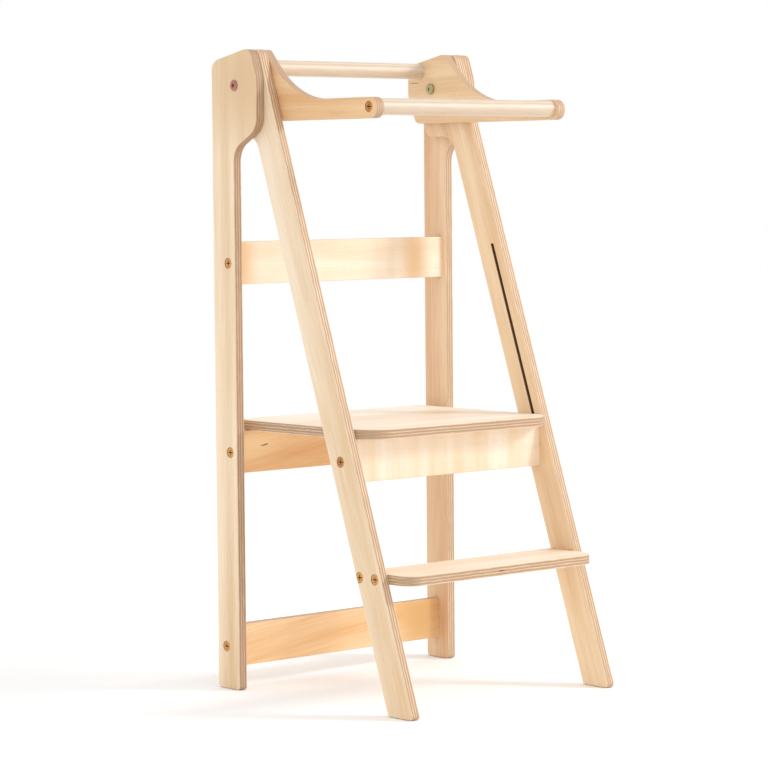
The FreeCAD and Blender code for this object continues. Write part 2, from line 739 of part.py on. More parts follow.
# ---------------------------------------------------------------------------
# Guard: two arms joined by two dowels, on the same pivots as the legs
# ---------------------------------------------------------------------------
arm_outline = [
    (heel(size("arm_base")), size("arm_base")), (0, size("heel_height")),
    (0, size("head_back_height")), (-size("head_crest_depth"), height),
    (-size("arm_crest_depth"), height), (-size("arm_throat_depth"), size("arm_top")),
    (-size("arm_front"), size("arm_top")), (-size("arm_front"), size("arm_base"))]
arm_corners = [(0, "heel_tip_radius"), (1, "heel_radius"), (2, "head_back_radius"),
               (4, "arm_crest_radius"), (5, "arm_throat_radius"), (6, "arm_front_radius"),
               (7, "arm_front_radius")]
dowel_spots = [("guard_dowel_rear", size("rear_dowel_depth"), size("rear_dowel_height")),
               ("guard_dowel_front", size("front_dowel_depth"), size("front_dowel_height"))]
for word, side in SIDES:
    label = "guard_arm_" + word
    arm = side_plate(label, arm_outline, arm_corners, plate_x(side, arm_inner, arm_outer))
    tools = [rod_x("bore_" + label, bore_r, ply + 2, (arm_outer + 1) * side,
                   pivot_d, pivot_z, -side)]
    for name, depth, z in dowel_spots:
        tools += screw_seat("%s_%s" % (name, word), side, depth, z, arm_outer)
    keep(cut(label, arm, tools))

for name, depth, z in dowel_spots:
    bar = rod_x(name + "_bar", size("dowel_diameter") / 2, arm_inner * 2, -arm_inner, depth, z)
    keep(cut(name, bar,
             [rod_x("pilot_%s_%s" % (name, word), shank_r, size("screw_length"),
                    arm_outer * side, depth, z, -side) for word, side in SIDES]))

keep(group("guard_screws", screw_master,
           [(outwards(side), arm_outer * side, back_y - depth, z)
            for _, side in SIDES for _, depth, z in dowel_spots]))

# ---------------------------------------------------------------------------
# Check and export
# ---------------------------------------------------------------------------
doc.recompute()
for obj in doc.Objects:
    if any(word in obj.State for word in ("Invalid", "Error")):
        raise RuntimeError("%s is %s" % (obj.Label, obj.State))
for piece in pieces:
    shape = piece.Shape
    if shape.isNull() or not shape.isValid() or not shape.Solids:
        raise RuntimeError(piece.Label + " has no valid shape")
    if any(solid.Volume <= 0 for solid in shape.Solids):
        raise RuntimeError(piece.Label + " has an inverted solid")
for piece in pieces:
    piece.Shape.exportStep("parts/%s.step" % piece.Label)
    print("%-26s %2d solid(s) %10.0f mm3" % (piece.Label, len(piece.Shape.Solids),
                                            piece.Shape.Volume))
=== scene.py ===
# %% [markdown]
# # A folding step ladder in birch plywood
#
# This lesson dresses a finished engineering model.  Every plate, dowel and
# fastener already has its true shape and place, so the work here is in the
# wood, the metal, the light and the camera.  Lengths are in metres: +Z is up
# and the climbing side faces -Y.

# %% Load the fixed frame
import math

import bpy
from mathutils import Matrix, Vector


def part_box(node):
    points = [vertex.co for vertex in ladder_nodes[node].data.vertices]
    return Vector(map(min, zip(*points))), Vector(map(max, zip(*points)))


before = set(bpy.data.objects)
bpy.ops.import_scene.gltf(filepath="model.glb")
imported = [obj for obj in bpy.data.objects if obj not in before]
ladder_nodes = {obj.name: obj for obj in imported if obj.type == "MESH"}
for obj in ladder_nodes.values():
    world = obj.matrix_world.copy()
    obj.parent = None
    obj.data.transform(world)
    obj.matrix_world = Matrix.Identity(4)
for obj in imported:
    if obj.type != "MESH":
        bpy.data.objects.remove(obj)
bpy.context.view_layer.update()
bpy.ops.object.select_all(action="DESELECT")

# %% [markdown]
# ## Colours and a node helper
#
# Paint charts and web pages give colours as sRGB hex values, but a renderer
# adds light in linear values.  One function does the change, so each colour
# below can be read as the hex value a person would pick.  A second small
# function adds a node of any kind with its settings and links, which keeps
# the recipes for wood and metal short.

# %% Colour and node helpers
MM = 1000.0                                          # millimetres in a metre


def colour(hex_value):
    """Turn an sRGB hex value into the linear RGBA that the shaders use."""
    channels = [int(hex_value[i:i + 2], 16) / 255.0 for i in (1, 3, 5)]
    return [c / 12.92 if c <= 0.04045 else ((c + 0.055) / 1.055) ** 2.4 for c in channels] + [1.0]


def add(tree, kind, *ordered, named=None, output=0, **settings):
    """Add one node and give back one of its outputs.

    ordered values go to the node's inputs from the first one on, and named values to the
    inputs with those names or numbers.  A value is a number, a vector, a colour or the
    output of another node.
    """
    node = tree.nodes.new("ShaderNode" + kind)
    for key, setting in settings.items():
        setattr(node, key, setting)
    for key, value in [*enumerate(ordered), *(named or {}).items()]:
        if isinstance(value, bpy.types.NodeSocket):
            tree.links.new(value, node.inputs[key])
        else:
            node.inputs[key].default_value = value
    return node.outputs[output]


def new_finish(name):
    """An empty material with its surface shader, ready for a recipe."""
    finish = bpy.data.materials.new(name)
    finish.use_nodes = True
    return finish, finish.node_tree, finish.node_tree.nodes["Principled BSDF"]


def dress(node_name, finish):
    """Put a finish on a piece of the frame."""
    piece = ladder_nodes[node_name]
    piece.data.materials.clear()
    piece.data.materials.append(finish)


# a Mix node keeps its two colours and its mixed colour at these places
MIX_A, MIX_B = 6, 7
COLOUR_MIX = {"output": 2, "data_type": "RGBA"}
print("cream veneer in linear values:", [round(c, 3) for c in colour("#f0dcbc")[:3]])

# %% [markdown]
# ## Birch plywood
#
# Birch plywood is thin veneers glued with the grain of each one across its
# neighbours.  On a face the eye sees one pale veneer, peeled from the log in a
# long sheet, so its figure is a soft watery contour with fine streaks and
# short flecks along the grain.  On an edge it sees stripes: where a veneer is
# cut across its fibres the wood drinks more oil and looks brown, and where it
# is cut along them it stays pale.
#
# The recipe is a solid texture, as the real board is solid wood.  It measures
# how far a point is along the grain, across the grain and through the board,
# and draws every pattern in those three directions.  The same recipe then
# gives the faces, the striped edges, the rounded corners and the bottom of
# the routed grooves.

# %% A board and its three directions
class Board:
    """One board's material, with sums that say where a point is and which way it faces."""

    def __init__(self, node_name, grain, through, seed):
        grain, through = Vector(grain).normalized(), Vector(through).normalized()
        low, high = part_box(node_name)
        self.seed = seed
        self.faces = sorted((low.dot(through), high.dot(through)))
        self.directions = (grain, through.cross(grain), through)
        self.finish, self.tree, self.shader = new_finish("oiled_birch_plywood_" + node_name)
        point = add(self.tree, "TexCoord", output="Object")
        normal = add(self.tree, "TexCoord", output="Normal")
        # places are in metres; squareness is 1 where the surface faces that direction
        self.places, self.squareness = [], []
        for direction in self.directions:
            self.places.append(add(self.tree, "VectorMath", point, direction,
                                   operation="DOT_PRODUCT", output="Value"))
            tilt = add(self.tree, "VectorMath", normal, direction,
                       operation="DOT_PRODUCT", output="Value")
            self.squareness.append(add(self.tree, "Math", tilt, operation="ABSOLUTE"))

    def pattern(self, repeats, detail, roughness=0.55, shift=0.0):
        """Noise with so many repeats a metre along the grain, across it and through the board.

        shift moves a pattern along, so that no two patterns on a board lie in step.
        """
        along, across, through = self.places
        place = add(self.tree, "CombineXYZ",
                    add(self.tree, "Math", along, repeats[0], shift, operation="MULTIPLY_ADD"),
                    add(self.tree, "Math", across, repeats[1], shift, operation="MULTIPLY_ADD"),
                    add(self.tree, "Math", through, repeats[2], operation="MULTIPLY"))
        return add(self.tree, "TexNoise", noise_dimensions="4D", output="Fac",
                   named={"Vector": place, "W": self.seed, "Scale": 1.0, "Detail": detail,
                          "Roughness": roughness})

    def shares(self, centre, halves_mm):
        """How far a point is from a centre in each direction, as a share of the half sizes."""
        found = []
        for place, direction, half in zip(self.places, self.directions, halves_mm):
            gap = add(self.tree, "Math", place, Vector(centre).dot(direction), operation="SUBTRACT")
            found.append(add(self.tree, "Math", gap, MM / half, operation="MULTIPLY"))
        return found

    def distance(self, centre, halves_mm, flat=True):
        """One number for those shares, 1 on the rim; flat leaves out the way through the board."""
        along, across, through = self.shares(centre, halves_mm)
        away = add(self.tree, "CombineXYZ", along, across, 0.0 if flat else through)
        return add(self.tree, "VectorMath", away, operation="LENGTH", output="Value")


print("patterns are drawn along the grain, across it and through the board")

# %% [markdown]
# ### Which veneer, and how it is cut
#
# The distance through the board says which veneer a point is in, and the
# direction of the surface says whether its fibres are cut across.  A real
# 15 mm board has eleven veneers of 1.4 mm.  Here it has seven of 2.1 mm, as
# coarse as the stripes need to be to show at this distance.  No veneer is
# quite even, so a slow noise bends the lines between them.

# %% Veneers and cuts
VENEERS = 7
UNEVENNESS = (70.0, 70.0, 70.0)                      # repeats a metre, so about 14 mm apart
BEND = 1.1                                           # of a veneer's thickness
GLUE_SHARPNESS = 9.0                                 # a line fades out a ninth of a veneer away


def veneer_cut(board):
    """Three amounts from 0 to 1: fibres cut across, surface is an edge, point is on a glue line."""
    tree = board.tree
    start, end = board.faces
    depth = add(tree, "Math", board.places[2], start, operation="SUBTRACT")
    layer = add(tree, "Math", depth, VENEERS / (end - start), operation="MULTIPLY")
    uneven = add(tree, "Math", board.pattern(UNEVENNESS, 3.0), 0.5, operation="SUBTRACT")
    layer = add(tree, "Math", uneven, BEND, layer, operation="MULTIPLY_ADD")
    layer = add(tree, "Clamp", layer, 0.02, VENEERS - 0.02)
    from_line = add(tree, "Math", layer, 0.5, operation="PINGPONG")
    glue = add(tree, "Math", from_line, -GLUE_SHARPNESS, 1.0, operation="MULTIPLY_ADD")
    glue = add(tree, "Math", glue, 0.0, operation="MAXIMUM")

    # the faces are veneers 0 and VENEERS - 1, and every odd veneer lies crosswise
    number = add(tree, "Math", layer, operation="FLOOR")
    crosswise = add(tree, "Math", number, 2.0, operation="FLOORED_MODULO")
    lengthwise = add(tree, "Math", 1.0, crosswise, operation="SUBTRACT")
    to_grain, to_side, to_face = board.squareness
    crosswise_cut = add(tree, "Math", to_side, crosswise, operation="MULTIPLY")
    end_grain = add(tree, "Math", to_grain, lengthwise, crosswise_cut, operation="MULTIPLY_ADD")

    off_face = add(tree, "Math", 1.0, to_face, operation="SUBTRACT")
    on_edge = add(tree, "Math", off_face, 1.6, -0.3, operation="MULTIPLY_ADD")
    on_edge = add(tree, "Math", on_edge, 0.0, 0.1, operation="SMOOTH_MAX")
    on_edge = add(tree, "Math", on_edge, 1.0, operation="MINIMUM")
    return end_grain, on_edge, glue


print("a 15 mm board shows", VENEERS, "veneers of %.1f mm" % (15 / VENEERS))

# %% [markdown]
# ### The face veneer
#
# The face goes from a pale colour to a tan one, and four patterns move it
# between the two: watery contours, wide bands, streaks 2 mm wide and, on
# curly boards, waves across the grain.  Short brown flecks lie on top.  A
# stain is a soft golden area on the face; at the right ends of the upper and
# lowest rails it is painted shadow of the right legs.

# %% The face recipe
# repeats a metre along the grain, across it and through the board
CONTOURS = (2.2, 11.0, 0.0)
STREAKS = (14.0, 430.0, 90.0)
BANDS = (1.1, 26.0, 0.0)
FLECKS = (150.0, 900.0, 200.0)
CURLS = (42.0, 5.0, 0.0)
MIDDLE_TONE = 0.42                                   # 0 is all pale, 1 all tan
FLECK_STRENGTH, FLECK_BROWN = 0.35, "#b98a5b"
STAIN_AND_SHADE_STRENGTH = 0.9


def face_veneer(board, streak, pale, tan, figure, lines, curl, stains_and_shade):
    """The colour of a face; figure, lines and curl are the strengths of its patterns."""
    tree = board.tree
    contour = add(tree, "Math", board.pattern(CONTOURS, 2.0), 9.0, operation="MULTIPLY")
    contour = add(tree, "Math", contour, 1.0, operation="PINGPONG")
    contour = add(tree, "Math", contour, 0.8, 0.4, operation="SMOOTH_MIN")
    tone = add(tree, "Math", contour, 0.50 * figure, MIDDLE_TONE - 0.25 * figure,
               operation="MULTIPLY_ADD")
    parts = [(streak, 1.3 * lines), (board.pattern(BANDS, 2.0, 0.5, 7.7), 2.9 * lines)]
    if curl:
        parts.append((board.pattern(CURLS, 2.0, 0.5, 9.9), 3.4 * curl))
    for part, strength in parts:
        part = add(tree, "Math", part, 0.5, operation="SUBTRACT")
        tone = add(tree, "Math", part, strength, tone, operation="MULTIPLY_ADD")
    tone = add(tree, "Clamp", tone, 0.0, 1.0)
    veneer = add(tree, "Mix", tone, named={MIX_A: colour(pale), MIX_B: colour(tan)}, **COLOUR_MIX)

    fleck = board.pattern(FLECKS, 1.0, 0.4, 1.3)
    fleck = add(tree, "Math", fleck, 7.0, -4.6, operation="MULTIPLY_ADD")
    fleck = add(tree, "Math", fleck, 0.0, operation="MAXIMUM")
    fleck = add(tree, "Math", fleck, FLECK_STRENGTH, operation="MULTIPLY")
    veneer = add(tree, "Mix", fleck, named={MIX_A: veneer, MIX_B: colour(FLECK_BROWN)}, **COLOUR_MIX)
    # golden areas; at the rails' right ends they are painted shadow of the right legs
    for centre, halves_mm, golden in stains_and_shade:
        far = board.distance(centre, halves_mm)
        stain_and_shade = add(tree, "Math", far, far, operation="MULTIPLY")
        stain_and_shade = add(tree, "Math", 1.0, stain_and_shade, operation="SUBTRACT")
        stain_and_shade = add(tree, "Math", stain_and_shade, 0.0, operation="MAXIMUM")
        stain_and_shade = add(tree, "Math", stain_and_shade, 2.0, operation="POWER")
        stain_and_shade = add(tree, "Math", stain_and_shade, STAIN_AND_SHADE_STRENGTH, operation="MULTIPLY")
        veneer = add(tree, "Mix", stain_and_shade, named={MIX_A: veneer, MIX_B: colour(golden)}, **COLOUR_MIX)
    return veneer


print("streaks are %.1f mm apart" % (MM / STREAKS[1]))

# %% [markdown]
# ### The edges
#
# A sawn and sanded edge is brown where it cuts the fibres across and pale
# where it cuts them along, with a thin dark line of glue between veneers.
# Open pores and darker patches break the stripes up, and each board's edges
# are darkened by its own amount as painted shade, most where other boards
# shade them.  Real pores are about a tenth of a millimetre wide.
# These are 2 mm apart, as coarse as they need to be to show.

# %% The edge recipe
PORES = (520.0, 520.0, 520.0)
PATCHES = (45.0, 45.0, 260.0)
PORE_BROWN, END_TAN = "#a5805f", "#d2af8a"           # fibres cut across
SIDE_CREAM, SIDE_TAN = "#f3dfc4", "#dab996"          # fibres cut along
PATCH_STRENGTH, PATCH_BROWN = 0.55, "#c09a78"
GLUE_STRENGTH, GLUE_BROWN = 0.4, "#8d6848"
# painted shade: the edges are darkened towards this brown
EDGE_SHADE_BROWN = "#94765f"


def cut_edge(board, streak, pores, end_grain, glue, edge_shade):
    """The colour of an edge."""
    tree = board.tree
    patch = board.pattern(PATCHES, 3.0, 0.6, 2.2)
    patch = add(tree, "Math", patch, 3.2, -1.1, operation="MULTIPLY_ADD")
    patch = add(tree, "Clamp", patch, 0.0, 1.0)
    patch = add(tree, "Math", patch, PATCH_STRENGTH, operation="MULTIPLY")
    line = add(tree, "Math", glue, GLUE_STRENGTH, operation="MULTIPLY")
    across = add(tree, "Mix", pores, named={MIX_A: colour(PORE_BROWN), MIX_B: colour(END_TAN)},
                 **COLOUR_MIX)
    along = add(tree, "Mix", streak, named={MIX_A: colour(SIDE_CREAM), MIX_B: colour(SIDE_TAN)},
                **COLOUR_MIX)
    edge = add(tree, "Mix", end_grain, named={MIX_A: along, MIX_B: across}, **COLOUR_MIX)
    for amount, brown in ((patch, PATCH_BROWN), (line, GLUE_BROWN)):
        edge = add(tree, "Mix", amount, named={MIX_A: edge, MIX_B: colour(brown)}, **COLOUR_MIX)
    # painted shade: edge_shade darkens the whole edge by a set amount
    return add(tree, "Mix", edge_shade, named={MIX_A: edge, MIX_B: colour(EDGE_SHADE_BROWN)},
               blend_type="MULTIPLY", **COLOUR_MIX)


print("pores are %.1f mm apart" % (MM / PORES[0]))

# %% [markdown]
# ### Grooves, screw rims and flaws
#
# The walls and bottom of a routed channel are painted dark brown, as painted
# shade inside the narrow groove.  Each screw head has a dark ring about 1 mm
# wide round it, partly the scorched rim of the countersink and partly painted
# shade in it.  A knot, a void or a thin dark line is a ragged dark spot, and
# the pores give it its ragged outline.

# %% The painted shade and flaw recipe
HEAD_MM = 7.2                                        # radius of a wood screw's head
RIM_MM = 8.3                                         # where its dark ring has faded out
# painted shade: a dark ring round each screw head, partly the countersink's scorched rim
RIM_SHARPNESS, RIM_SHADE_STRENGTH, RIM_SHADE_BROWN = 12.0, 0.8, "#6b4427"
# painted shade: the inside of a routed groove is darkened towards this brown
GROOVE_SHADE_STRENGTH, GROOVE_SHADE_BROWN = 0.85, "#63401f"
MARK_STRENGTH, MARK_BROWN = 0.75, "#5e3a20"


def flaws_and_shade(board, surface, pores, routed, screws, marks):
    """Routed channels and screw rims darkened as painted shade, and marks, over a surface colour."""
    tree = board.tree
    spots = []
    # painted shade inside each routed channel
    for centre, halves_mm in routed:
        amount = GROOVE_SHADE_STRENGTH
        for share in board.shares(centre, halves_mm):
            share = add(tree, "Math", share, operation="ABSOLUTE")
            inside = add(tree, "Math", share, 1.0, operation="LESS_THAN")
            amount = add(tree, "Math", inside, amount, operation="MULTIPLY")
        spots.append((amount, GROOVE_SHADE_BROWN))
    # painted shade in each countersink, partly its scorched rim
    for centre in screws:
        far = board.distance(centre, (RIM_MM, RIM_MM, RIM_MM))
        rim_shade = add(tree, "Math", far, -RIM_SHARPNESS, RIM_SHARPNESS, operation="MULTIPLY_ADD")
        spots.append((add(tree, "Clamp", rim_shade, 0.0, RIM_SHADE_STRENGTH), RIM_SHADE_BROWN))
    for centre, halves_mm in marks:
        far = board.distance(centre, halves_mm, flat=False)
        ragged = add(tree, "Math", pores, 0.5, operation="SUBTRACT")
        far = add(tree, "Math", ragged, 0.9, far, operation="MULTIPLY_ADD")
        mark = add(tree, "Math", far, -2.5, 2.5, operation="MULTIPLY_ADD")
        mark = add(tree, "Clamp", mark, 0.0, 1.0)
        spots.append((add(tree, "Math", mark, MARK_STRENGTH, operation="MULTIPLY"), MARK_BROWN))
    for amount, brown in spots:
        surface = add(tree, "Mix", amount, named={MIX_A: surface, MIX_B: colour(brown)}, **COLOUR_MIX)
    return surface


print("dark rings end %.1f mm outside the screw heads" % (RIM_MM - HEAD_MM))

# %% [markdown]
# ### The whole board
#
# The face and edge colours are joined by how far the surface has turned from
# the face, so a rounded arris blends from one to the other.  The oil leaves a
# low sheen, a little duller where the fibres are cut across, and the streaks
# and pores stand up by a few hundredths of a millimetre.

# %% The plywood recipe
def birch_ply(node_name, grain, through, pale, tan, seed, figure=0.5, lines=1.0, curl=0.0,
              edge_shade=0.08, marks=(), stains_and_shade=(), routed=(), screws=()):
    """Plywood for one board: grain runs along the first direction, veneers stack along the second.

    marks are dark spots, stains_and_shade are soft golden areas and routed are machined channels,
    painted dark inside as painted shade.  Each is a centre in metres and half sizes in
    millimetres along the grain, across it and through the board, and a golden area has its
    colour too; those at the right ends of the rails are painted shadow of the right legs.
    screws are the centres of the heads let into its faces, each with a dark ring that is
    partly painted shade.  edge_shade is how much the edges are darkened as painted shade.
    """
    board = Board(node_name, grain, through, seed)
    tree, shader = board.tree, board.shader
    streak = board.pattern(STREAKS, 4.0, 0.65, 3.1)
    pores = board.pattern(PORES, 3.0, 0.6, 5.5)
    end_grain, on_edge, glue = veneer_cut(board)
    veneer = face_veneer(board, streak, pale, tan, figure, lines, curl, stains_and_shade)
    edge = cut_edge(board, streak, pores, end_grain, glue, edge_shade)
    surface = add(tree, "Mix", on_edge, named={MIX_A: veneer, MIX_B: edge}, **COLOUR_MIX)
    surface = flaws_and_shade(board, surface, pores, routed, screws, marks)

    sheen = add(tree, "Math", streak, 0.16, 0.40, operation="MULTIPLY_ADD")
    sheen = add(tree, "Math", end_grain, 0.18, sheen, operation="MULTIPLY_ADD")
    open_pores = add(tree, "Math", pores, on_edge, operation="MULTIPLY")
    relief = add(tree, "Math", open_pores, 0.8, streak, operation="MULTIPLY_ADD")
    bump = add(tree, "Bump", named={"Strength": 0.22, "Distance": 0.2 / MM, "Height": relief})
    tree.links.new(surface, shader.inputs["Base Color"])
    tree.links.new(sheen, shader.inputs["Roughness"])
    tree.links.new(bump, shader.inputs["Normal"])
    shader.inputs["IOR"].default_value = 1.5
    shader.inputs["Specular IOR Level"].default_value = 0.42
    dress(node_name, board.finish)
    print("%-18s %4.1f mm thick, %3d nodes" % (node_name, (board.faces[1] - board.faces[0]) * MM,
                                               len(tree.nodes)))

# %% [markdown]
# ## Where the screw heads are
#
# The dark rings have to follow the real screw heads, so their centres come
# from the screws' own mesh.  Only the heads reach the outermost plane of a
# set of screws, and each group of points on that plane is one head.

# %% Screw head centres
def head_centres(node_name, side):
    """Centres of the screw heads of a node on one side: -1 is left and 1 is right."""
    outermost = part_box(node_name)[1].x - 0.1 / MM
    points = ladder_nodes[node_name].data.vertices
    rims = [point.co.copy() for point in points if point.co.x * side > outermost]
    centres = []
    while rims:
        first = rims[0]
        head = [point for point in rims if (point - first).length < 2.2 * HEAD_MM / MM]
        rims = [point for point in rims if point not in head]
        middle = [(min(point[k] for point in head) + max(point[k] for point in head)) / 2
                  for k in range(3)]
        centres.append(Vector(middle))
    return centres


print("screw heads in the left vertical leg:", len(head_centres("rail_screws", -1)))

# %% [markdown]
# ## Dressing the boards
#
# A maker lays the face grain along the length of each part, because that is
# the strong way.  So it is upright in the legs, along the slope in the slanted
# legs, lengthwise in the guard arms and side to side in the rails and treads.
# No two boards come from the same place in a sheet, so each one gets its own
# seed and a slightly different pair of colours: the rails and treads are the
# palest, and the arms and the lowest rail are more honey coloured.  The middle
# rail's deeper honey pair and the right vertical leg's darker, warmer pair are
# partly their own tone and partly painted shade, for the shade under the
# platform and on the leg's inner face.

# %% Boards of the rear frame
UPRIGHT, SIDEWAYS, FORWARDS = (0, 0, 1), (1, 0, 0), (0, 1, 0)
# edge_shade is painted shade on the edges, most on the left vertical leg, which the slanted leg
# shades
birch_ply("vertical_leg_left", UPRIGHT, SIDEWAYS, "#f6dfc1", "#dbb88e", 1.7, 0.35, edge_shade=0.34,
          stains_and_shade=[((-0.212, 0.135, 0.905), (150.0, 110.0, 9.0), "#dbb88e")],
          screws=head_centres("rail_screws", -1))
# darker and warmer than the left leg: partly painted shade of its inner face
birch_ply("vertical_leg_right", UPRIGHT, SIDEWAYS, "#efd0ac", "#d6a87e", 2.9, edge_shade=0.12,
          screws=head_centres("rail_screws", 1))
# the golden area at the right end is painted shadow of the right legs
birch_ply("rail_upper", SIDEWAYS, FORWARDS, "#fbeedb", "#deb47f", 4.2, 0.3, lines=0.35, curl=0.08,
          stains_and_shade=[((0.146, 0.1665, 0.637), (42.0, 120.0, 9.0), "#cea677"),
                  ((-0.204, 0.1665, 0.637), (45.0, 120.0, 9.0), "#deb47f")])
# the grain of the other two rails runs seven or eight degrees off their length
# the honey pair is partly painted shade, for the shade under the platform
birch_ply("rail_middle", (1, 0, 0.15), FORWARDS, "#f6d3a2", "#e0aa74", 5.1, 0.9,
          marks=[((-0.159, 0.1665, 0.3636), (9.0, 1.6, 3.0))])
# the golden area at the right end is painted shadow of the right vertical leg
birch_ply("rail_lower", (1, 0, 0.12), FORWARDS, "#f5d2a5", "#e2ad73", 6.6, 0.9,
          stains_and_shade=[((0.165, 0.1805, 0.060), (75.0, 90.0, 9.0), "#d4a465")])

# %% Boards of the front frame and the platform
SLOPE = (0, 0.32555, 0.94553)                        # the slanted legs lean by 19 degrees
# the groove's walls and bottom are painted dark as painted shade
GROOVE_X, GROOVE_Y, GROOVE_Z = 0.19205, -0.0100, 0.52675
# longer and wider than the 6 mm groove, but it stops 0.1 mm short of the leg's face
GROOVE_HALVES_MM = (146.0, 3.4, 3.95)
birch_ply("slanted_leg_left", SLOPE, SIDEWAYS, "#f5e1c6", "#dfbd92", 7.3, 0.4,
          routed=[((-GROOVE_X, GROOVE_Y, GROOVE_Z), GROOVE_HALVES_MM)],
          screws=head_centres("apron_screws", -1) + head_centres("step_screws", -1))
birch_ply("slanted_leg_right", SLOPE, SIDEWAYS, "#f2d9b6", "#dcb487", 8.8,
          routed=[((GROOVE_X, GROOVE_Y, GROOVE_Z), GROOVE_HALVES_MM)],
          screws=head_centres("apron_screws", 1) + head_centres("step_screws", 1))
birch_ply("front_apron", SIDEWAYS, FORWARDS, "#f6e6d3", "#e9cba4", 9.4, 0.3, lines=0.4, curl=0.6)
birch_ply("lower_step", SIDEWAYS, UPRIGHT, "#fbeddb", "#e9cdab", 10.1, 0.3, lines=0.7,
          edge_shade=0.18, marks=[((-0.007, -0.1875, 0.1925), (8.0, 4.0, 1.3))])
birch_ply("platform_board", SIDEWAYS, UPRIGHT, "#f8ecdb", "#e8ceb0", 11.5, 0.35, lines=0.8,
          edge_shade=0.22)

# %% Boards of the guard
birch_ply("guard_arm_left", FORWARDS, SIDEWAYS, "#f3d2a4", "#deae7b", 12.3, 0.6, edge_shade=0.2,
          screws=head_centres("guard_screws", -1))
# the mark is a thin dark line just below the rear dowel
birch_ply("guard_arm_right", FORWARDS, SIDEWAYS, "#efd4ae", "#d9ae80", 13.8,
          marks=[((0.1716, 0.193, 0.908), (14.0, 0.7, 3.0))],
          screws=head_centres("guard_screws", 1))

# %% [markdown]
# ## Turned birch dowels
#
# The guard's two round rails are solid birch, turned and sanded, and left
# almost white.  Solid wood shows straight fine lines along the rail and, on
# the sawn ends, the faint arcs of the growth rings.  The rings are drawn
# round a line that lies well outside the dowel, as they are in a stick split
# from a bigger log.

# %% The dowel recipe
LOG_BEHIND, LOG_ABOVE = 0.043, 0.028                 # metres from the dowel to that line
DRAWN_OUT = 0.04                                     # patterns are 25 times as long as wide
RING_SCALE = 52.0                                    # rings 6 mm apart
FIBRE_SCALE = 620.0                                  # fibres 1.6 mm apart
SAWN_END = "#c99a68"


def turned_dowel(node_name, seed):
    """Sanded solid birch for a dowel that lies along X."""
    finish, tree, shader = new_finish("sanded_birch_dowel_" + node_name)
    low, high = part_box(node_name)
    middle = (low + high) / 2
    place = add(tree, "Mapping", add(tree, "TexCoord", output="Object"),
                named={"Location": (0.0, -middle.y - LOG_BEHIND, -middle.z - LOG_ABOVE),
                       "Scale": (DRAWN_OUT, 1.0, 1.0)})
    rings = add(tree, "TexWave", place, wave_type="RINGS", rings_direction="X", output="Fac",
                named={"Scale": RING_SCALE, "Distortion": 1.4, "Detail": 2.0,
                       "Detail Scale": 18.0})
    lines = add(tree, "TexNoise", noise_dimensions="4D", output="Fac",
                named={"Vector": place, "W": seed, "Scale": FIBRE_SCALE, "Detail": 3.0,
                       "Roughness": 0.6})
    tone = add(tree, "Math", rings, 0.35, 0.0, operation="MULTIPLY_ADD")
    tone = add(tree, "Math", lines, 0.6, tone, operation="MULTIPLY_ADD")
    side = add(tree, "ValToRGB", tone)
    pale, tan = side.node.color_ramp.elements
    pale.position, pale.color = 0.15, colour("#e1d0c0")
    tan.position, tan.color = 0.85, colour("#c3aa8a")

    normal = add(tree, "TexCoord", output="Normal")
    to_end = add(tree, "VectorMath", normal, (1.0, 0.0, 0.0), operation="DOT_PRODUCT",
                 output="Value")
    to_end = add(tree, "Math", to_end, operation="ABSOLUTE")
    to_end = add(tree, "Math", to_end, 4.0, operation="POWER", use_clamp=True)
    surface = add(tree, "Mix", to_end, named={MIX_A: side, MIX_B: colour(SAWN_END)}, **COLOUR_MIX)
    bump = add(tree, "Bump", named={"Strength": 0.12, "Distance": 0.2 / MM, "Height": lines})
    tree.links.new(surface, shader.inputs["Base Color"])
    tree.links.new(bump, shader.inputs["Normal"])
    shader.inputs["Roughness"].default_value = 0.48
    shader.inputs["IOR"].default_value = 1.5
    dress(node_name, finish)
    print(node_name, "is %.0f mm long" % ((high.x - low.x) * MM))


turned_dowel("guard_dowel_rear", 1.0)
turned_dowel("guard_dowel_front", 2.0)

# %% [markdown]
# ## Metal
#
# The wood screws are solid brass, toned to a warm golden brown, and the pivot
# bolts and their sleeve nuts are darker antiqued bronze.  Toned metal is never
# even: handling polishes the high spots, and the recesses keep the dark.  So
# the recipe mixes a polished and a toned colour with a blotchy noise, 1.5 to
# 4 mm across, and lets the roughness follow it.  The butt hinges are zinc
# plated, which is a cool grey with a faint yellow cloud.

# %% The metal recipe
TOOL_MARKS = 2600.0                                  # repeats a metre, so about 0.4 mm apart


def toned_metal(name, polished, toned, roughness, blotch_mm):
    """Polished metal with a dull toned colour in blotches."""
    finish, tree, shader = new_finish(name)
    where = add(tree, "TexCoord", output="Object")
    blotch = add(tree, "TexNoise", output="Fac",
                 named={"Vector": where, "Scale": MM / blotch_mm, "Detail": 3.0, "Roughness": 0.6})
    turning = add(tree, "TexNoise", output="Fac",
                  named={"Vector": where, "Scale": TOOL_MARKS, "Detail": 2.0})
    metal = add(tree, "Mix", blotch, named={MIX_A: colour(polished), MIX_B: colour(toned)},
                **COLOUR_MIX)
    dull = add(tree, "Math", blotch, 0.25, roughness - 0.12, operation="MULTIPLY_ADD")
    bump = add(tree, "Bump", named={"Strength": 0.10, "Distance": 0.1 / MM, "Height": turning})
    tree.links.new(metal, shader.inputs["Base Color"])
    tree.links.new(dull, shader.inputs["Roughness"])
    tree.links.new(bump, shader.inputs["Normal"])
    shader.inputs["Metallic"].default_value = 1.0
    return finish


print("tool marks are %.1f mm apart" % (MM / TOOL_MARKS))

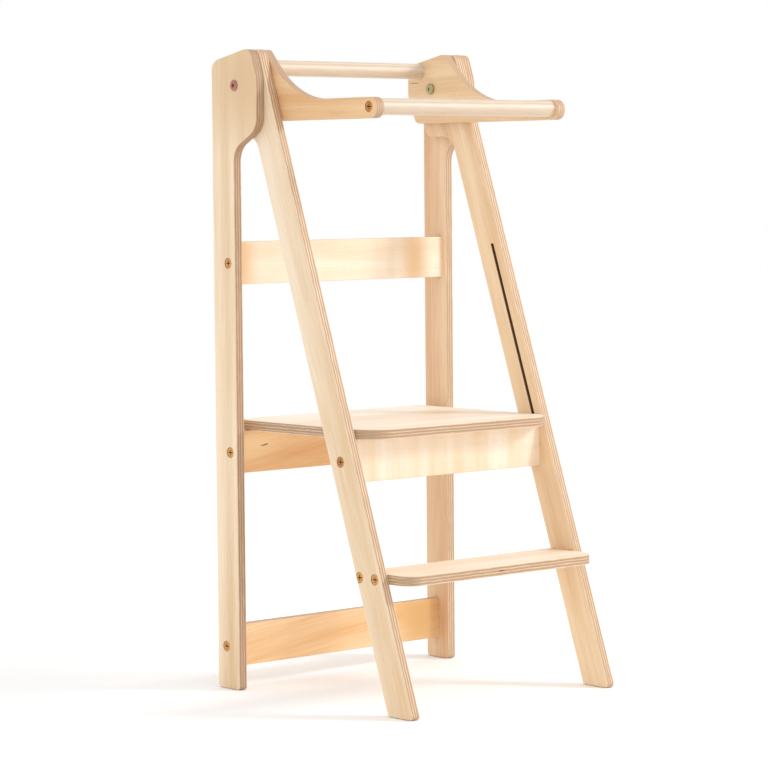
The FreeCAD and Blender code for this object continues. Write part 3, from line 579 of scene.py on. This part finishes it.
# %% Metal pieces
brass = toned_metal("toned_brass_screw", "#efc07c", "#ae7438", 0.36, 2.4)
dark_brass = toned_metal("darkened_brass_screw", "#e2a468", "#9a6233", 0.38, 2.4)
bronze = toned_metal("antiqued_bronze_bolt", "#e0a595", "#5f2f25", 0.28, 1.6)
green_bronze = toned_metal("antiqued_bronze_nut", "#e0d5a4", "#5f5636", 0.32, 1.5)
zinc = toned_metal("zinc_plated_hinge_steel", "#c9c6b8", "#a9a48f", 0.36, 4.0)
steel = toned_metal("ground_steel_pin", "#bfc0c2", "#9a9ca0", 0.28, 3.0)
METAL_PIECES = {
    "rail_screws": brass,
    "step_screws": brass,
    "guard_screws": dark_brass,
    "apron_screws": dark_brass,
    "pivot_bolts": bronze,
    "pivot_nuts": green_bronze,
    "rail_hinge_leaves": zinc,
    "platform_hinge_leaves": zinc,
    "rail_hinge_screws": zinc,
    "platform_hinge_screws": zinc,
    "hinge_pins": steel,
    "guide_pin_left": steel,
    "guide_pin_right": steel,
}
for node_name, finish in METAL_PIECES.items():
    dress(node_name, finish)
print(len(METAL_PIECES), "metal pieces dressed")

# %% [markdown]
# ## Nylon washers
#
# A thin washer keeps each pair of plates apart, so that they turn without
# rubbing.  Moulded nylon is milky, and light goes a little way into it, so it
# gets a faint cloudiness and a soft surface.

# %% The washers
nylon, tree, shader = new_finish("moulded_nylon_washer")
cloud = add(tree, "TexNoise", output="Fac",
            named={"Vector": add(tree, "TexCoord", output="Object"), "Scale": 400.0, "Detail": 2.0})
milky = add(tree, "Mix", cloud, named={MIX_A: colour("#efece2"), MIX_B: colour("#dcd7c8")},
            **COLOUR_MIX)
tree.links.new(milky, shader.inputs["Base Color"])
shader.inputs["Roughness"].default_value = 0.5
dress("pivot_washers", nylon)
print("washers dressed")

# %% [markdown]
# ## Floor and light
#
# A catalogue setting on white has light from all round and almost no shadow,
# with one large soft lamp a little stronger than the rest to give the boards
# their shape.  The floor is a wide white plane, so that it meets the white
# world with no line.  The world gives the even fill, and a big area lamp high
# in front and to the right of the ladder lights the faces that look forwards
# and upwards.  It leaves the left faces to the fill, and draws soft shadows
# where one board covers another.

# %% Floor
FLOOR_SIZE = 60.0
FLOOR_DROP = 0.0005                                  # keeps the floor just clear of the feet
bpy.ops.object.select_all(action="DESELECT")
bpy.ops.mesh.primitive_plane_add(size=FLOOR_SIZE, location=(0.0, 0.0, -FLOOR_DROP))
floor = bpy.context.object
floor.name = "studio_floor"
paper, tree, shader = new_finish("white_studio_paper")
shader.inputs["Base Color"].default_value = colour("#ffffff")
shader.inputs["Roughness"].default_value = 0.9
floor.data.materials.append(paper)
print("the floor is %.0f m wide" % FLOOR_SIZE)

# %% World
world = bpy.data.worlds.new("studio_white")
bpy.context.scene.world = world
world.use_nodes = True
backdrop = world.node_tree.nodes["Background"]
backdrop.inputs["Color"].default_value = (1.0, 1.0, 1.0, 1.0)
backdrop.inputs["Strength"].default_value = 1.0
bpy.context.scene.view_settings.view_transform = "Standard"
print("world:", world.name)

# %% Lamp
KEY_PLACE = Vector((2.7, -2.6, 2.6))
KEY_TARGET = Vector((0.0, 0.0, 0.45))
lamp = bpy.data.lights.new("key_softbox", "AREA")
lamp.shape = "DISK"
lamp.size = 1.1
lamp.energy = 78.0
key = bpy.data.objects.new("key_softbox", lamp)
bpy.context.scene.collection.objects.link(key)
key.location = KEY_PLACE
key.rotation_euler = (KEY_TARGET - KEY_PLACE).to_track_quat("-Z", "Y").to_euler()
print("the lamp is %.1f m from the ladder" % (KEY_TARGET - KEY_PLACE).length)

# %% [markdown]
# ## Camera
#
# The ladder is seen from its front left corner, from about four and a half
# metres away with a long lens, so that its upright legs stay almost upright.
# The camera is 0.76 m above the floor, a little below the guard, and looks
# down by four degrees, which puts the middle of the ladder in the middle of
# the view with no lens shift.

# %% Camera
EYE = Vector((-2.9524, -3.2848, 0.7591))
YAW, PITCH, ROLL = math.radians(41.302), math.radians(3.945), math.radians(-0.479)
FOCAL_MM, SENSOR_MM = 139.35, 36.0
FAR_CLIP = 150.0                                     # beyond the far corner of the floor


def turned_view(yaw, pitch, roll):
    """Axes of a camera that looks along +Y, turned right by yaw, down by pitch, then rolled."""
    forwards = Vector((math.sin(yaw) * math.cos(pitch),
                       math.cos(yaw) * math.cos(pitch),
                       -math.sin(pitch)))
    right = Vector((math.cos(yaw), -math.sin(yaw), 0.0))
    up = right.cross(forwards)
    rolled_right = right * math.cos(roll) + up * math.sin(roll)
    rolled_up = up * math.cos(roll) - right * math.sin(roll)
    return Matrix((rolled_right, rolled_up, -forwards)).transposed()


lens = bpy.data.cameras.new("product_camera")
lens.lens = FOCAL_MM
lens.sensor_width = SENSOR_MM
lens.clip_end = FAR_CLIP
camera = bpy.data.objects.new("product_camera", lens)
bpy.context.scene.collection.objects.link(camera)
camera.matrix_world = Matrix.Translation(EYE) @ turned_view(YAW, PITCH, ROLL).to_4x4()
bpy.context.scene.camera = camera
print("camera is %.2f m from the ladder" % EYE.length)
